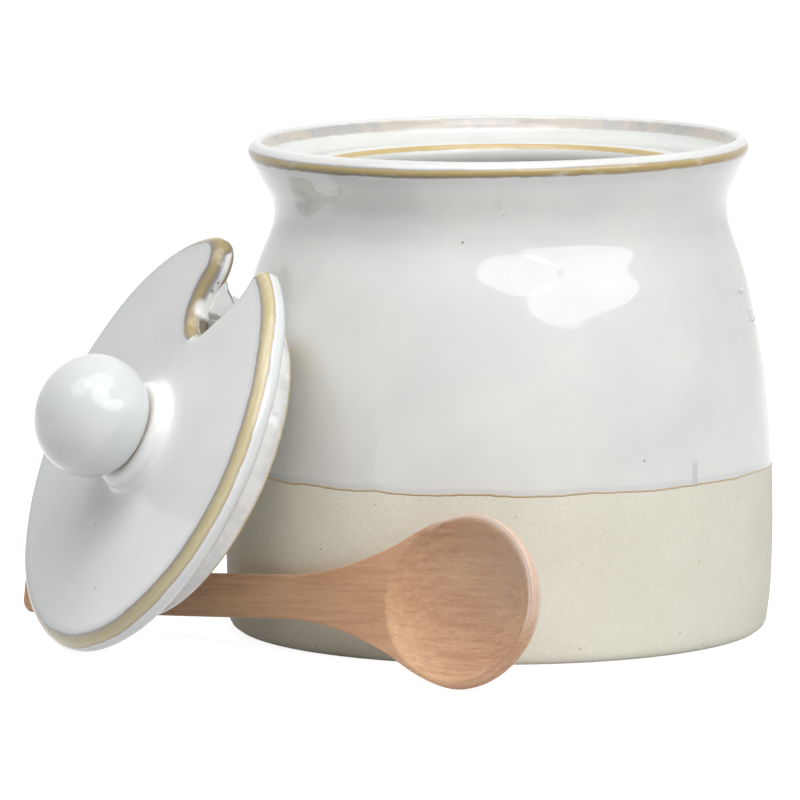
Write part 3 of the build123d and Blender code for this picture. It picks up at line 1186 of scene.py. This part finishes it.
    def make(self) -> "Pot":
        """Turn the profile round Z and give it the unevenness of hand throwing.

        The point at profile place s and angle a is (r cos a, r sin a, z), where r gains soft
        noise that fades at the foot and the ledge, and z gains rim_tilt * x / lip_radius near
        the rim. The rows lie closer by close_weight from the base to close_points points along
        the profile, which is its outside and most of the crown.

        Returns:
            This pot, with its piece made.
        """
        section = self.profile()
        outside = (section[:, 1] > 0.5) & (np.arange(len(section)) < self.close_points)
        section = spaced(section, np.where(outside, self.close_weight, 1.0), self.rows)
        run = run_length(section)
        angle = np.linspace(0.0, 2.0 * math.pi, self.columns, endpoint=False)
        radius = section[:, :1] * np.ones_like(angle)
        height = section[:, 1:] * np.ones_like(angle)
        place = np.stack([radius * np.cos(angle), radius * np.sin(angle), height], -1)
        share = smooth_step(height, *self.even_foot) * smooth_step(radius, *self.even_throat)
        uneven = soft_noise(place, self.wobble_length, 11) * self.wobble
        uneven = uneven + soft_noise(place, self.fine_wobble_length, 12) * self.fine_wobble
        outside = np.arange(self.rows)[:, None] < np.argmax(section[:, 1])
        turn = angle + math.pi / 2
        for mark in self.marks:
            uneven += mark.relief(turn, radius, height) * outside
        place[..., :2] *= (1.0 + share * uneven / np.maximum(radius, 1.0))[..., None]
        lean = smooth_step(height, self.tilt_start, self.lip_bead)
        place[..., 2] += self.rim_tilt * lean * place[..., 0] / self.lip_radius
        edge = np.stack([run[:, None] * np.ones_like(angle), radius, height], -1)
        self.runs = PotRuns(self.run_at(section, run, (self.lip_radius, self.lip_bead)),
                            self.run_at(section, run, (self.crown_radius, self.height)),
                            self.run_at(section, run, (self.throat_radius + self.throat_line,
                                                       self.ledge_height - self.throat_line)))
        surface = Surface(place, edge, start_pole=np.zeros(3), end_pole=np.array([0.0, 0.0, self.floor]))
        beads = [self.blister(section, *bead) for bead in self.blisters]
        self.piece = write_piece("pot_body", [surface, *beads], IN_FRAME)
        return self

    @staticmethod
    def run_at(section: Points, run: Points, place: Sequence[float]) -> float:
        """Length along the profile at its point nearest to a place."""
        return float(run[np.argmin(np.linalg.norm(section - np.asarray(place), axis=1))])

    def blister(self, section: Points, turn: float, height: float, size: float) -> Surface:
        """A tiny bead of glaze, half sunk in the wall: a ball drawn out a little up and down.

        Its edge coordinates hold bead_run, a run on the plain wall, so that no line crosses it.

        Args:
            section: The pot's profile.
            turn: Turn from the camera side in degrees.
            height: Height of the bead.
            size: Its radius.

        Returns:
            The bead's surface.
        """
        wall = section[np.argmin(np.abs(section[:, 1] - height) - section[:, 0])]
        side = math.radians(turn)
        middle = np.array([wall[0] * math.sin(side), -wall[0] * math.cos(side), height])
        rise = np.linspace(-math.pi / 2, math.pi / 2, 11)[1:-1, None]
        round_way = np.linspace(0.0, 2.0 * math.pi, 16, endpoint=False)
        ball = np.stack([np.cos(rise) * np.cos(round_way), np.cos(rise) * np.sin(round_way),
                         self.bead_stretch * np.sin(rise) * np.ones_like(round_way)], -1) * size
        pole = np.array([0.0, 0.0, self.bead_stretch * size])
        edge = np.broadcast_to(np.array([self.bead_run, wall[0], height]), ball.shape)
        return Surface(middle + ball, edge, start_pole=middle - pole, end_pole=middle + pole)

    def dress(self, finish: PotFinish) -> None:
        """Finish the pot and set it on its body."""
        settle(self.piece, finish.build(self.runs), "pot", Body.POT)


@dataclass
class Lid:
    """The thrown lid: plate with its notch, locating ring and boss."""

    radius: float = 43.1
    thickness: float = 5.0
    top_round: float = 3.0
    low_round: float = 1.6
    notch_width: float = 16.6
    notch_centre: float = 31.3
    notch_skew: float = 5.6
    left_round: float = 6.5
    right_round: float = 3.2
    ring_radius: float = 32.8
    ring_wall: float = 5.4
    ring_depth: float = 8.4
    ring_round: float = 1.3
    ring_cove: float = 2.0
    ring_end_round: float = 0.7
    boss_radius: float = 11.0
    boss_height: float = 3.2
    boss_round: float = 1.9
    boss_cove: float = 1.3
    core_radius: float = 15.0
    core_rows: int = 33
    axis_gap: float = 0.8
    warp: float = 0.10
    warp_length: float = 40.0
    fine_warp: float = 0.03
    fine_warp_length: float = 14.0
    warp_rise: tuple[float, float] = (13.0, 26.0)
    ring_sink: float = 1.5
    origin: tuple[float, float, float] = (-65.563, -26.873, 38.924)
    notch_way: tuple[float, float, float] = (0.46828, -0.01885, 0.88338)
    outward: tuple[float, float, float] = (-0.81871, -0.38526, 0.42578)
    piece: Optional[bpy.types.Object] = field(default=None, init=False)

    @property
    def placement(self) -> Placement:
        """Where the lid's own axes stand, X towards the notch and Z out of the top."""
        return Placement.from_axes(self.origin, self.notch_way, self.outward)

    def mouth_centre(self, corner: float) -> tuple[float, float]:
        """Centre of a mouth corner of this radius on the +Y side, touching the rim and the wall."""
        across = self.notch_width / 2 + corner
        return math.sqrt((self.radius - corner) ** 2 - across**2), across

    def outline(self) -> tuple[Points, Points, Points]:
        """Plan outline, counterclockwise: rim, right mouth corner, walls round the notch's end, left corner.

        Returns:
            Points, inward unit normals and the angle on the core circle that each point aims at.
        """
        half = self.notch_width / 2
        left_x, left_y = self.mouth_centre(self.left_round)
        right_x, right_y = self.mouth_centre(self.right_round)
        left_turn = math.degrees(math.atan2(left_y, left_x))
        right_turn = math.degrees(math.atan2(right_y, right_x))
        rim = arc((0, 0), self.radius, left_turn, 360 - right_turn, 300)
        right = arc((right_x, -right_y), self.right_round, -right_turn, 90, 22)
        right_wall = line((right_x, -half), (self.notch_centre, -half), 9)
        end = arc((self.notch_centre, 0), half, 270, 90, 56)
        left_wall = line((self.notch_centre, half), (left_x, half), 9)
        left = arc((left_x, left_y), self.left_round, -90, left_turn, 30)
        runs = [rim, right[1:], right_wall[1:], end[1:], left_wall[1:], left[1:-1]]
        aims = [(60, 300), (300, 308), (308, 320), (320, 400), (400, 412), (412, 420)]
        turns = [np.linspace(low, high, len(run), endpoint=False) for run, (low, high) in zip(runs, aims)]
        points = np.concatenate(runs)
        x, y = points[:, 0], points[:, 1]
        in_notch = (np.abs(y) <= half + 1e-6) & (x > 0.0)
        drawn = smooth_step(x, right_x, self.notch_centre - half + 2.0) * (half - y) / self.notch_width
        points[:, 1] += np.where(in_notch, self.notch_skew * drawn, 0.0)
        before, after = points - np.roll(points, 1, 0), np.roll(points, -1, 0) - points
        tangent = before / np.linalg.norm(before, axis=1, keepdims=True)
        tangent += after / np.linalg.norm(after, axis=1, keepdims=True)
        tangent /= np.linalg.norm(tangent, axis=1, keepdims=True)
        inward = np.stack([-tangent[:, 1], tangent[:, 0]], 1)
        return points, inward, np.radians(np.concatenate(turns))

    def edge_profile(self) -> Points:
        """Edge section from the underside to the top, as inset from the outline and height.

        Returns:
            Points as inset and height.
        """
        low = arc((self.low_round, self.low_round), self.low_round, 270, 180, 6)
        top = arc((self.top_round, self.thickness - self.top_round), self.top_round, 180, 90, 20)
        return joined(low, top)

    def edge_run(self, inset: Points, depth: Points) -> Points:
        """Length over the plate's rounded top edge, from where the flat top ends.

        On the round it is the round's radius times the angle turned. It is negative on the flat
        top, by the distance to the round, and goes on down the side.

        Args:
            inset: Distance in plan from the outline.
            depth: Distance below the top plane.

        Returns:
            The length for each point.
        """
        turned = np.arctan2(self.top_round - inset, np.maximum(self.top_round - depth, 1e-6))
        on_round = self.top_round * turned
        down_side = self.top_round * (math.pi / 2 - 1.0) + depth
        on_top = self.top_round - inset
        off_top = np.where(depth > self.top_round, down_side, on_round)
        return np.where(inset > self.top_round, on_top, off_top)

    def boss_top(self, radius: Points) -> Points:
        """Height over the lid's middle: a rounded boss with a cove round its foot.

        Args:
            radius: Distances from the lid's axis.

        Returns:
            The height at each.
        """
        top = self.thickness + self.boss_height
        rounding = np.clip(radius - (self.boss_radius - self.boss_round), 0.0, self.boss_round)
        crest = top - self.boss_round + np.sqrt(np.maximum(self.boss_round**2 - rounding**2, 0.0))
        cove = np.clip(self.boss_radius + self.boss_cove - radius, 0.0, self.boss_cove)
        foot = self.thickness + self.boss_cove - np.sqrt(np.maximum(self.boss_cove**2 - cove**2, 0.0))
        return np.where(radius <= self.boss_radius, crest, foot)

    def plate(self) -> Surface:
        """The plate and boss in one closed surface.

        The edge section is carried round the outline: point + inset * inward normal, at its
        height. Straight lines then run to the core circle, and circles fill that up to the axis.

        Returns:
            The surface, with the run over its edge as the first edge coordinate and 0 as the others.
        """
        points, inward, turn = self.outline()
        section = self.edge_profile()
        inset, height = section[:, 0][:, None, None], section[:, 1][:, None]
        side = points + inset * inward
        core = self.core_radius * np.stack([np.cos(turn), np.sin(turn)], 1)
        shares = np.linspace(0.0, 1.0, self.core_rows + 1)[1:][:, None, None]
        top_fill = side[-1] + shares * (core - side[-1])
        low_fill = side[0] + shares * (core - side[0])
        cove_foot = self.boss_radius + self.boss_cove
        crest = self.boss_radius - self.boss_round
        boss = np.concatenate([
            np.linspace(self.core_radius - 0.4, cove_foot + 0.2, 5),
            cove_foot - self.boss_cove * np.sin(np.radians(np.linspace(0, 89, 12))),
            crest + self.boss_round * np.cos(np.radians(np.linspace(1, 90, 16))),
            np.linspace(crest - 0.5, self.axis_gap, 10)])
        rays = np.stack([np.cos(turn), np.sin(turn)], 1)
        middle = boss[:, None, None] * rays
        low_middle = np.linspace(self.core_radius - 1.0, self.axis_gap, 12)[:, None, None] * rays
        plan = np.concatenate([low_middle[::-1], low_fill[::-1], side, top_fill, middle])
        flat = np.ones(len(turn))
        heights = np.concatenate([
            np.zeros((len(low_middle) + len(low_fill), len(turn))), height * flat,
            np.full((len(top_fill), len(turn)), self.thickness),
            self.boss_top(boss)[:, None] * flat])
        grid = np.concatenate([plan, heights[..., None]], -1)
        reach = np.linalg.norm(grid[..., :2] - points, axis=-1)
        over = self.edge_run(reach, self.thickness - heights)
        edge = np.stack([over, np.zeros_like(over), np.zeros_like(over)], -1)
        top = np.array([0.0, 0.0, self.thickness + self.boss_height])
        return Surface(grid, edge, start_pole=np.zeros(3), end_pole=top)

    def ring(self) -> Surface:
        """The locating ring: its closed section carried round an arc, with rounded ends.

        The section is a tall box with rounded lower corners. Near each end it draws in towards
        its middle along a quarter circle.

        Returns:
            The surface.
        """
        half_wall = self.ring_wall / 2
        middle = self.ring_radius - half_wall
        low = -self.ring_depth + self.ring_round
        sink = self.ring_sink
        flare = self.ring_cove
        section = joined(
            line((half_wall + flare, sink), (half_wall + flare, 0.0), 4),
            arc((half_wall + flare, -flare), flare, 90, 180, 8),
            line((half_wall, -flare), (half_wall, low), 9),
            arc((half_wall - self.ring_round, low), self.ring_round, 0, -90, 9),
            arc((-half_wall + self.ring_round, low), self.ring_round, -90, -180, 9),
            line((-half_wall, low), (-half_wall, sink), 12),
            line((-half_wall, sink), (half_wall + flare, sink), 9)[:-1])
        soft = self.ring_end_round
        bend = np.radians(np.linspace(90.0, 0.0, 8))
        end_angle = math.asin(self.notch_width / 2 / self.ring_radius) + soft / middle
        ends = soft * np.sin(bend) / middle
        angle = np.concatenate([end_angle - ends, np.linspace(end_angle, 2 * math.pi - end_angle, 280)[1:-1],
                                2 * math.pi - end_angle + ends[::-1]])
        inset = np.zeros(len(angle))
        inset[:8] = soft * (1.0 - np.cos(bend))
        inset[-8:] = inset[:8][::-1]
        centre = np.array([0.0, (sink - self.ring_depth) / 2])
        size = np.array([half_wall, (sink + self.ring_depth) / 2])
        drawn = centre + (section - centre) * (1.0 - inset[:, None, None] / size)
        radius = middle + drawn[..., 0]
        turn = angle[:, None]
        grid = np.stack([radius * np.cos(turn), radius * np.sin(turn), drawn[..., 1]], -1)
        edge = np.stack([-drawn[..., 1], np.ones_like(radius), radius], -1)
        return Surface(grid, edge, start_pole=grid[0].mean(0), end_pole=grid[-1].mean(0), flip=True)

    def make(self) -> "Lid":
        """Build the plate and the ring as one piece, with the plate's top a little warped.

        Returns:
            This lid, with its piece made.
        """
        plate = self.plate()
        warp = soft_noise(plate.grid, self.warp_length, 21) * self.warp
        warp = warp + soft_noise(plate.grid, self.fine_warp_length, 22) * self.fine_warp
        share = smooth_step(np.linalg.norm(plate.grid[..., :2], axis=-1), *self.warp_rise)
        plate.grid[..., 2] += warp * share
        self.piece = write_piece("lid_body", [plate, self.ring()], self.placement)
        return self

    def dress(self, finish: LidFinish) -> None:
        """Finish the lid and set it on its body."""
        settle(self.piece, finish.build(), "lid", Body.LID)


@dataclass
class Knob:
    """The ball knob with its flat foot."""

    radius: float = 12.15
    half_height: float = 10.85
    middle: float = 16.3
    foot: float = 8.2
    axis_gap: float = 0.4
    uneven: float = 0.07
    uneven_length: float = 12.0
    piece: Optional[bpy.types.Object] = field(default=None, init=False)

    def make(self, placement: Placement) -> "Knob":
        """Turn an ellipse round the lid's axis, cut flat at the foot.

        Args:
            placement: The lid's own axes.

        Returns:
            This knob, with its piece made.
        """
        low = math.asin((self.foot - self.middle) / self.half_height)
        rise = np.linspace(low, math.pi / 2, 90)[:-1]
        section = np.stack([self.radius * np.cos(rise), self.middle + self.half_height * np.sin(rise)], 1)
        under = line((self.axis_gap, self.foot), section[0], 10)
        section = joined(under, section)
        angle = np.linspace(0.0, 2.0 * math.pi, 144, endpoint=False)
        grid = np.stack([section[:, :1] * np.cos(angle), section[:, :1] * np.sin(angle),
                         section[:, 1:] * np.ones_like(angle)], -1)
        share = smooth_step(grid[..., 2], self.foot, self.foot + 4.0)
        uneven = soft_noise(grid, self.uneven_length, 31) * self.uneven - self.uneven
        grid[..., :2] *= (1.0 + share * uneven / self.radius)[..., None]
        surface = Surface(grid, None, start_pole=np.array([0.0, 0.0, self.foot]),
                          end_pole=np.array([0.0, 0.0, self.middle + self.half_height - 0.05]))
        self.piece = write_piece("lid_ball_knob", [surface], placement)
        return self

    def dress(self, finish: KnobFinish) -> None:
        """Finish the knob and set it on the lid's body."""
        settle(self.piece, finish.build(self.foot), "lid_knob", Body.LID)


@dataclass
class Spoon:
    """The carved spoon: flat handle, widening neck and hollowed oval bowl."""

    length: float = 147.8
    handle_width: float = 8.6
    handle_thickness: float = 4.0
    tip: float = 2.2
    tip_share: float = 0.55
    handle_end: float = 70.0
    neck_end: float = 104.0
    front_start: float = 142.0
    front_turn: tuple[float, float] = (44.6, 88.5)
    neck_length: float = 50.0
    neck_power: float = 1.9
    flank_reach: float = 18.3
    flank_width: float = 22.2
    flank_power: float = 1.6
    bowl_width: float = 33.4
    bowl_reach: float = 19.5
    bowl_thickness: float = 8.0
    end_power: float = 0.4
    hollow_depth: float = 5.6
    rim: float = 1.5
    hollow_back: float = 21.0
    hollow_dome: float = 2.5
    edge_round: float = 0.45
    origin: tuple[float, float, float] = (-94.370, 16.357, 4.204)
    along: tuple[float, float, float] = (0.67407, -0.7324, 0.09606)
    outward: tuple[float, float, float] = (-0.73392, -0.64932, 0.19937)
    piece: Optional[bpy.types.Object] = field(default=None, init=False)

    @property
    def bowl_centre(self) -> float:
        """Station of the bowl's widest place."""
        return self.length - self.bowl_reach

    def half_width(self, x: Points) -> Points:
        """Half the width: handle, then a power curve to the flank, then the bowl's egg shape.

        Args:
            x: Stations along the spoon.

        Returns:
            The half width at each.
        """
        start = self.bowl_centre - self.neck_length
        flank_place = self.bowl_centre - self.flank_reach
        handle, flank, bowl = self.handle_width / 2, self.flank_width / 2, self.bowl_width / 2
        rise = np.clip((x - start) / (flank_place - start), 0.0, 1.0)
        neck = handle + (flank - handle) * rise**self.neck_power
        back = np.clip((self.bowl_centre - x) / self.flank_reach, 0.0, 1.0)
        cheek = bowl - (bowl - flank) * back**self.flank_power
        front = bowl * np.sqrt(np.clip(1.0 - ((x - self.bowl_centre) / self.bowl_reach) ** 2, 0.0, 1.0))
        return np.where(x < flank_place, neck, np.where(x < self.bowl_centre, cheek, front))

    def depth(self, x: Points) -> Points:
        """Thickness at the deepest line of the back: a smooth swell, then a rounded front.

        Args:
            x: Stations along the spoon.

        Returns:
            The thickness at each.
        """
        start = self.bowl_centre - self.neck_length
        rise = smooth_step(x, start, self.bowl_centre)
        swell = self.handle_thickness + (self.bowl_thickness - self.handle_thickness) * rise
        front = np.clip(1.0 - ((x - self.bowl_centre) / self.bowl_reach) ** 2, 0.0, 1.0) ** self.end_power
        return np.where(x < self.bowl_centre, swell, self.bowl_thickness * front)

    def hollow(self, x: Points, y: Points) -> Points:
        """Depth of the scoop under the face, its rim eased: an ellipsoid centred above the face.

        Args:
            x: Stations along the spoon.
            y: Distances to its side.

        Returns:
            The depth at each place.
        """
        deep = self.hollow_depth + self.hollow_dome
        spread = 1.0 / math.sqrt(1.0 - (self.hollow_dome / deep) ** 2)
        front = self.length - self.rim
        back = self.bowl_centre - self.hollow_back
        long_half = (front - back) / 2 * spread
        wide_half = (self.bowl_width / 2 - self.rim) * spread
        inside = 1.0 - ((x - (front + back) / 2) / long_half) ** 2 - (y / wide_half) ** 2
        cut = deep * np.sqrt(np.maximum(inside, 0.0)) - self.hollow_dome
        soft = 0.25
        return 0.5 * (cut + np.sqrt(cut**2 + soft**2)) * smooth_step(inside, 0.0, 0.05)

    def stations(self) -> tuple[Points, Points]:
        """Places of the sections, close where the shape turns, and how far each is drawn in.

        Over the handle's rounded tip the section grows from tip_share of its size along a sine.

        Returns:
            The stations, and the share of the full section at each.
        """
        bend = np.radians(np.linspace(4.0, 90.0, 10))[:-1]
        front = np.radians(np.linspace(*self.front_turn, 34))
        x = np.concatenate([
            self.tip * (1.0 - np.sin(bend[::-1])),
            np.linspace(self.tip, self.handle_end, 60)[:-1],
            np.linspace(self.handle_end, self.neck_end, 60)[:-1],
            np.linspace(self.neck_end, self.front_start, 110)[:-1],
            self.bowl_centre + self.bowl_reach * np.sin(front)])
        share = np.ones_like(x)
        share[:len(bend)] = self.tip_share + (1.0 - self.tip_share) * np.sin(bend)
        return x, share

    def make(self) -> "Spoon":
        """Carry the section along the spoon: hollowed face, eased edges and elliptical back.

        The face runs from one edge to the other at height minus the scoop's depth. The back is
        half an ellipse of the section's half width and depth.

        Returns:
            This spoon, with its piece made.
        """
        x, share = self.stations()
        wide = (self.half_width(x) * share)[:, None]
        thick = (self.depth(x) * share)[:, None]
        ease = np.minimum(self.edge_round, 0.4 * np.minimum(wide, thick))
        across = np.sin(np.linspace(-math.pi / 2, math.pi / 2, 65))[None, :]
        y_face = (wide - ease) * across
        z_face = -self.hollow(x[:, None], y_face)
        turn = np.radians(np.linspace(90.0, 0.0, 6))[1:]
        y_right = wide - ease + ease * np.cos(turn)
        z_right = -ease + ease * np.sin(turn)
        swing = np.radians(np.linspace(0.0, 180.0, 49))[1:]
        y_back = wide * np.cos(swing)
        z_back = -ease - (thick - ease) * np.sin(swing)
        y_left = -(wide - ease + ease * np.cos(turn[::-1]))[:, 1:]
        z_left = (-ease + ease * np.sin(turn[::-1]))[:, 1:]
        y = np.concatenate([y_face, y_right, y_back, y_left], 1)
        z = np.concatenate([z_face, z_right, z_back, z_left], 1)
        grid = np.stack([x[:, None] * np.ones_like(y), y, z], -1)
        surface = Surface(grid, None, start_pole=grid[0].mean(0), end_pole=grid[-1].mean(0), flip=True)
        placement = Placement.from_axes(self.origin, self.along, self.outward)
        self.piece = write_piece("spoon_body", [surface], placement)
        return self

    def dress(self, finish: WoodFinish) -> None:
        """Finish the spoon and set it on its body."""
        bowl = BowlOutline(self.bowl_centre, self.bowl_reach, self.bowl_width / 2)
        settle(self.piece, finish.build(bowl), "spoon", Body.SPOON)


# Studio


@dataclass(frozen=True)
class Lamp:
    """A softbox: where it stands, seen from the object, and its size and strength."""

    name: str
    turn: float
    rise: float
    away: float
    width: float
    height: float
    power: float
    colour: Colour = (1.0, 1.0, 1.0)

    def place(self) -> bpy.types.Object:
        """Set the lamp at its compass turn and rise, facing the object's middle.

        Returns:
            The lamp.
        """
        light = bpy.data.lights.new(self.name, "AREA")
        light.shape = "ELLIPSE"
        light.size = self.width
        light.size_y = self.height
        light.energy = self.power
        light.color = self.colour
        lamp = bpy.data.objects.new(self.name, light)
        turn, rise = math.radians(self.turn), math.radians(self.rise)
        level = self.away * math.cos(rise)
        lift = self.away * math.sin(rise) + OBJECT_MIDDLE
        lamp.location = (level * math.sin(turn), -level * math.cos(turn), lift)
        lamp.rotation_euler = (math.pi / 2 - rise, 0.0, turn)
        bpy.context.scene.collection.objects.link(lamp)
        return lamp


@dataclass
class Studio:
    """White floor, white surroundings, softboxes and the camera."""

    eye: tuple[float, float, float] = (-19.382, -1649.502, 260.089)
    pitch: float = 7.4435
    focal_length: float = 379.7
    sensor: float = 36.0
    floor_size: float = 6.0
    floor_colour: Colour = (0.62, 0.62, 0.62)
    floor_lift: float = 0.86
    room_level: float = 0.07
    back_level: float = 0.5
    lamps: tuple[Lamp, ...] = (
        Lamp("key_softbox", 42.5, 28.6, 1.2, 1.13, 0.41, 4.0),
        Lamp("top_softbox", 10.0, 75.0, 1.2, 1.2, 0.8, 6.0),
        Lamp("front_softbox", 11.0, 48.0, 1.2, 0.8, 0.8, 5.2),
        Lamp("left_softbox", -60.0, 55.0, 1.3, 0.8, 0.8, 3.1),
    )

    def camera(self) -> None:
        """The photograph's view: a long lens, level to the sides and pitched down."""
        data = bpy.data.cameras.new("studio_camera")
        data.lens = self.focal_length
        data.sensor_width = self.sensor
        camera = bpy.data.objects.new("studio_camera", data)
        camera.location = tuple(value * MM for value in self.eye)
        camera.rotation_euler = (math.radians(90.0 - self.pitch), 0.0, 0.0)
        bpy.context.scene.collection.objects.link(camera)
        bpy.context.scene.camera = camera

    def floor(self) -> None:
        """A flat pale floor that the camera and reflections see lifted to white outside the shadow."""
        half = self.floor_size / 2
        mesh = bpy.data.meshes.new("studio_floor")
        corners = [(-half, -half, 0), (half, -half, 0), (half, half, 0), (-half, half, 0)]
        mesh.from_pydata(corners, [], [(0, 1, 2, 3)])
        floor = bpy.data.objects.new("studio_floor", mesh)
        bpy.context.scene.collection.objects.link(floor)
        board = Board.for_material("studio_floor_white")
        lift = self.seen(board) * self.floor_lift
        shade = board.node("ShaderNodeBsdfDiffuse", None, {"Color": self.floor_colour})
        glow = board.node("ShaderNodeEmission", None, {"Color": (1.0, 1.0, 1.0), "Strength": lift})
        both = board.node("ShaderNodeAddShader", None, {0: shade, 1: glow})
        board.node("ShaderNodeOutputMaterial", None, {"Surface": both})
        dress(floor, board.owner)

    def seen(self, board: Board) -> Wire:
        """Which rays look at the white surroundings instead of being lit by them.

        Args:
            board: Board of the material or the world.

        Returns:
            1 for camera, glossy and transmission rays, 0 for the rest.
        """
        path = board.node("ShaderNodeLightPath").socket.node.outputs
        camera, glossy, through = (Wire(board, path[name]) for name in
                                   ("Is Camera Ray", "Is Glossy Ray", "Is Transmission Ray"))
        return camera.max(glossy).max(through)

    def world(self) -> None:
        """White to the eye and in reflections. As light, a dim room with a pale backdrop behind."""
        world = bpy.data.worlds.new("studio_white")
        bpy.context.scene.world = world
        board = Board(world)
        _, back, _ = board.parts(board.node("ShaderNodeTexCoord", output="Generated"))
        room = back.step(-0.1, 0.7) * self.back_level + self.room_level
        seen = self.seen(board)
        strength = seen + (1.0 - seen) * room
        inputs = {"Color": (1.0, 1.0, 1.0), "Strength": strength}
        background = board.node("ShaderNodeBackground", None, inputs)
        board.node("ShaderNodeOutputWorld", None, {"Surface": background})

    def build(self) -> None:
        """Set up the whole studio."""
        bpy.context.scene.view_settings.view_transform = "Standard"
        self.camera()
        self.world()
        self.floor()
        for lamp in self.lamps:
            lamp.place()


def report(piece: bpy.types.Object) -> None:
    """Log a piece's name and triangle count."""
    piece.data.calc_loop_triangles()
    log.info("%s: %d triangles", piece.name, len(piece.data.loop_triangles))


def main() -> None:
    """Build the studio and the pieces in order and report each piece."""
    logging.basicConfig(level=logging.INFO, format="%(message)s")
    Studio().build()
    pot = Pot().make()
    pot.dress(PotFinish())
    lid = Lid().make()
    lid.dress(LidFinish())
    knob = Knob().make(lid.placement)
    knob.dress(KnobFinish())
    spoon = Spoon().make()
    spoon.dress(WoodFinish())
    for part in (pot, lid, knob, spoon):
        report(part.piece)


if __name__ == "__main__":
    main()
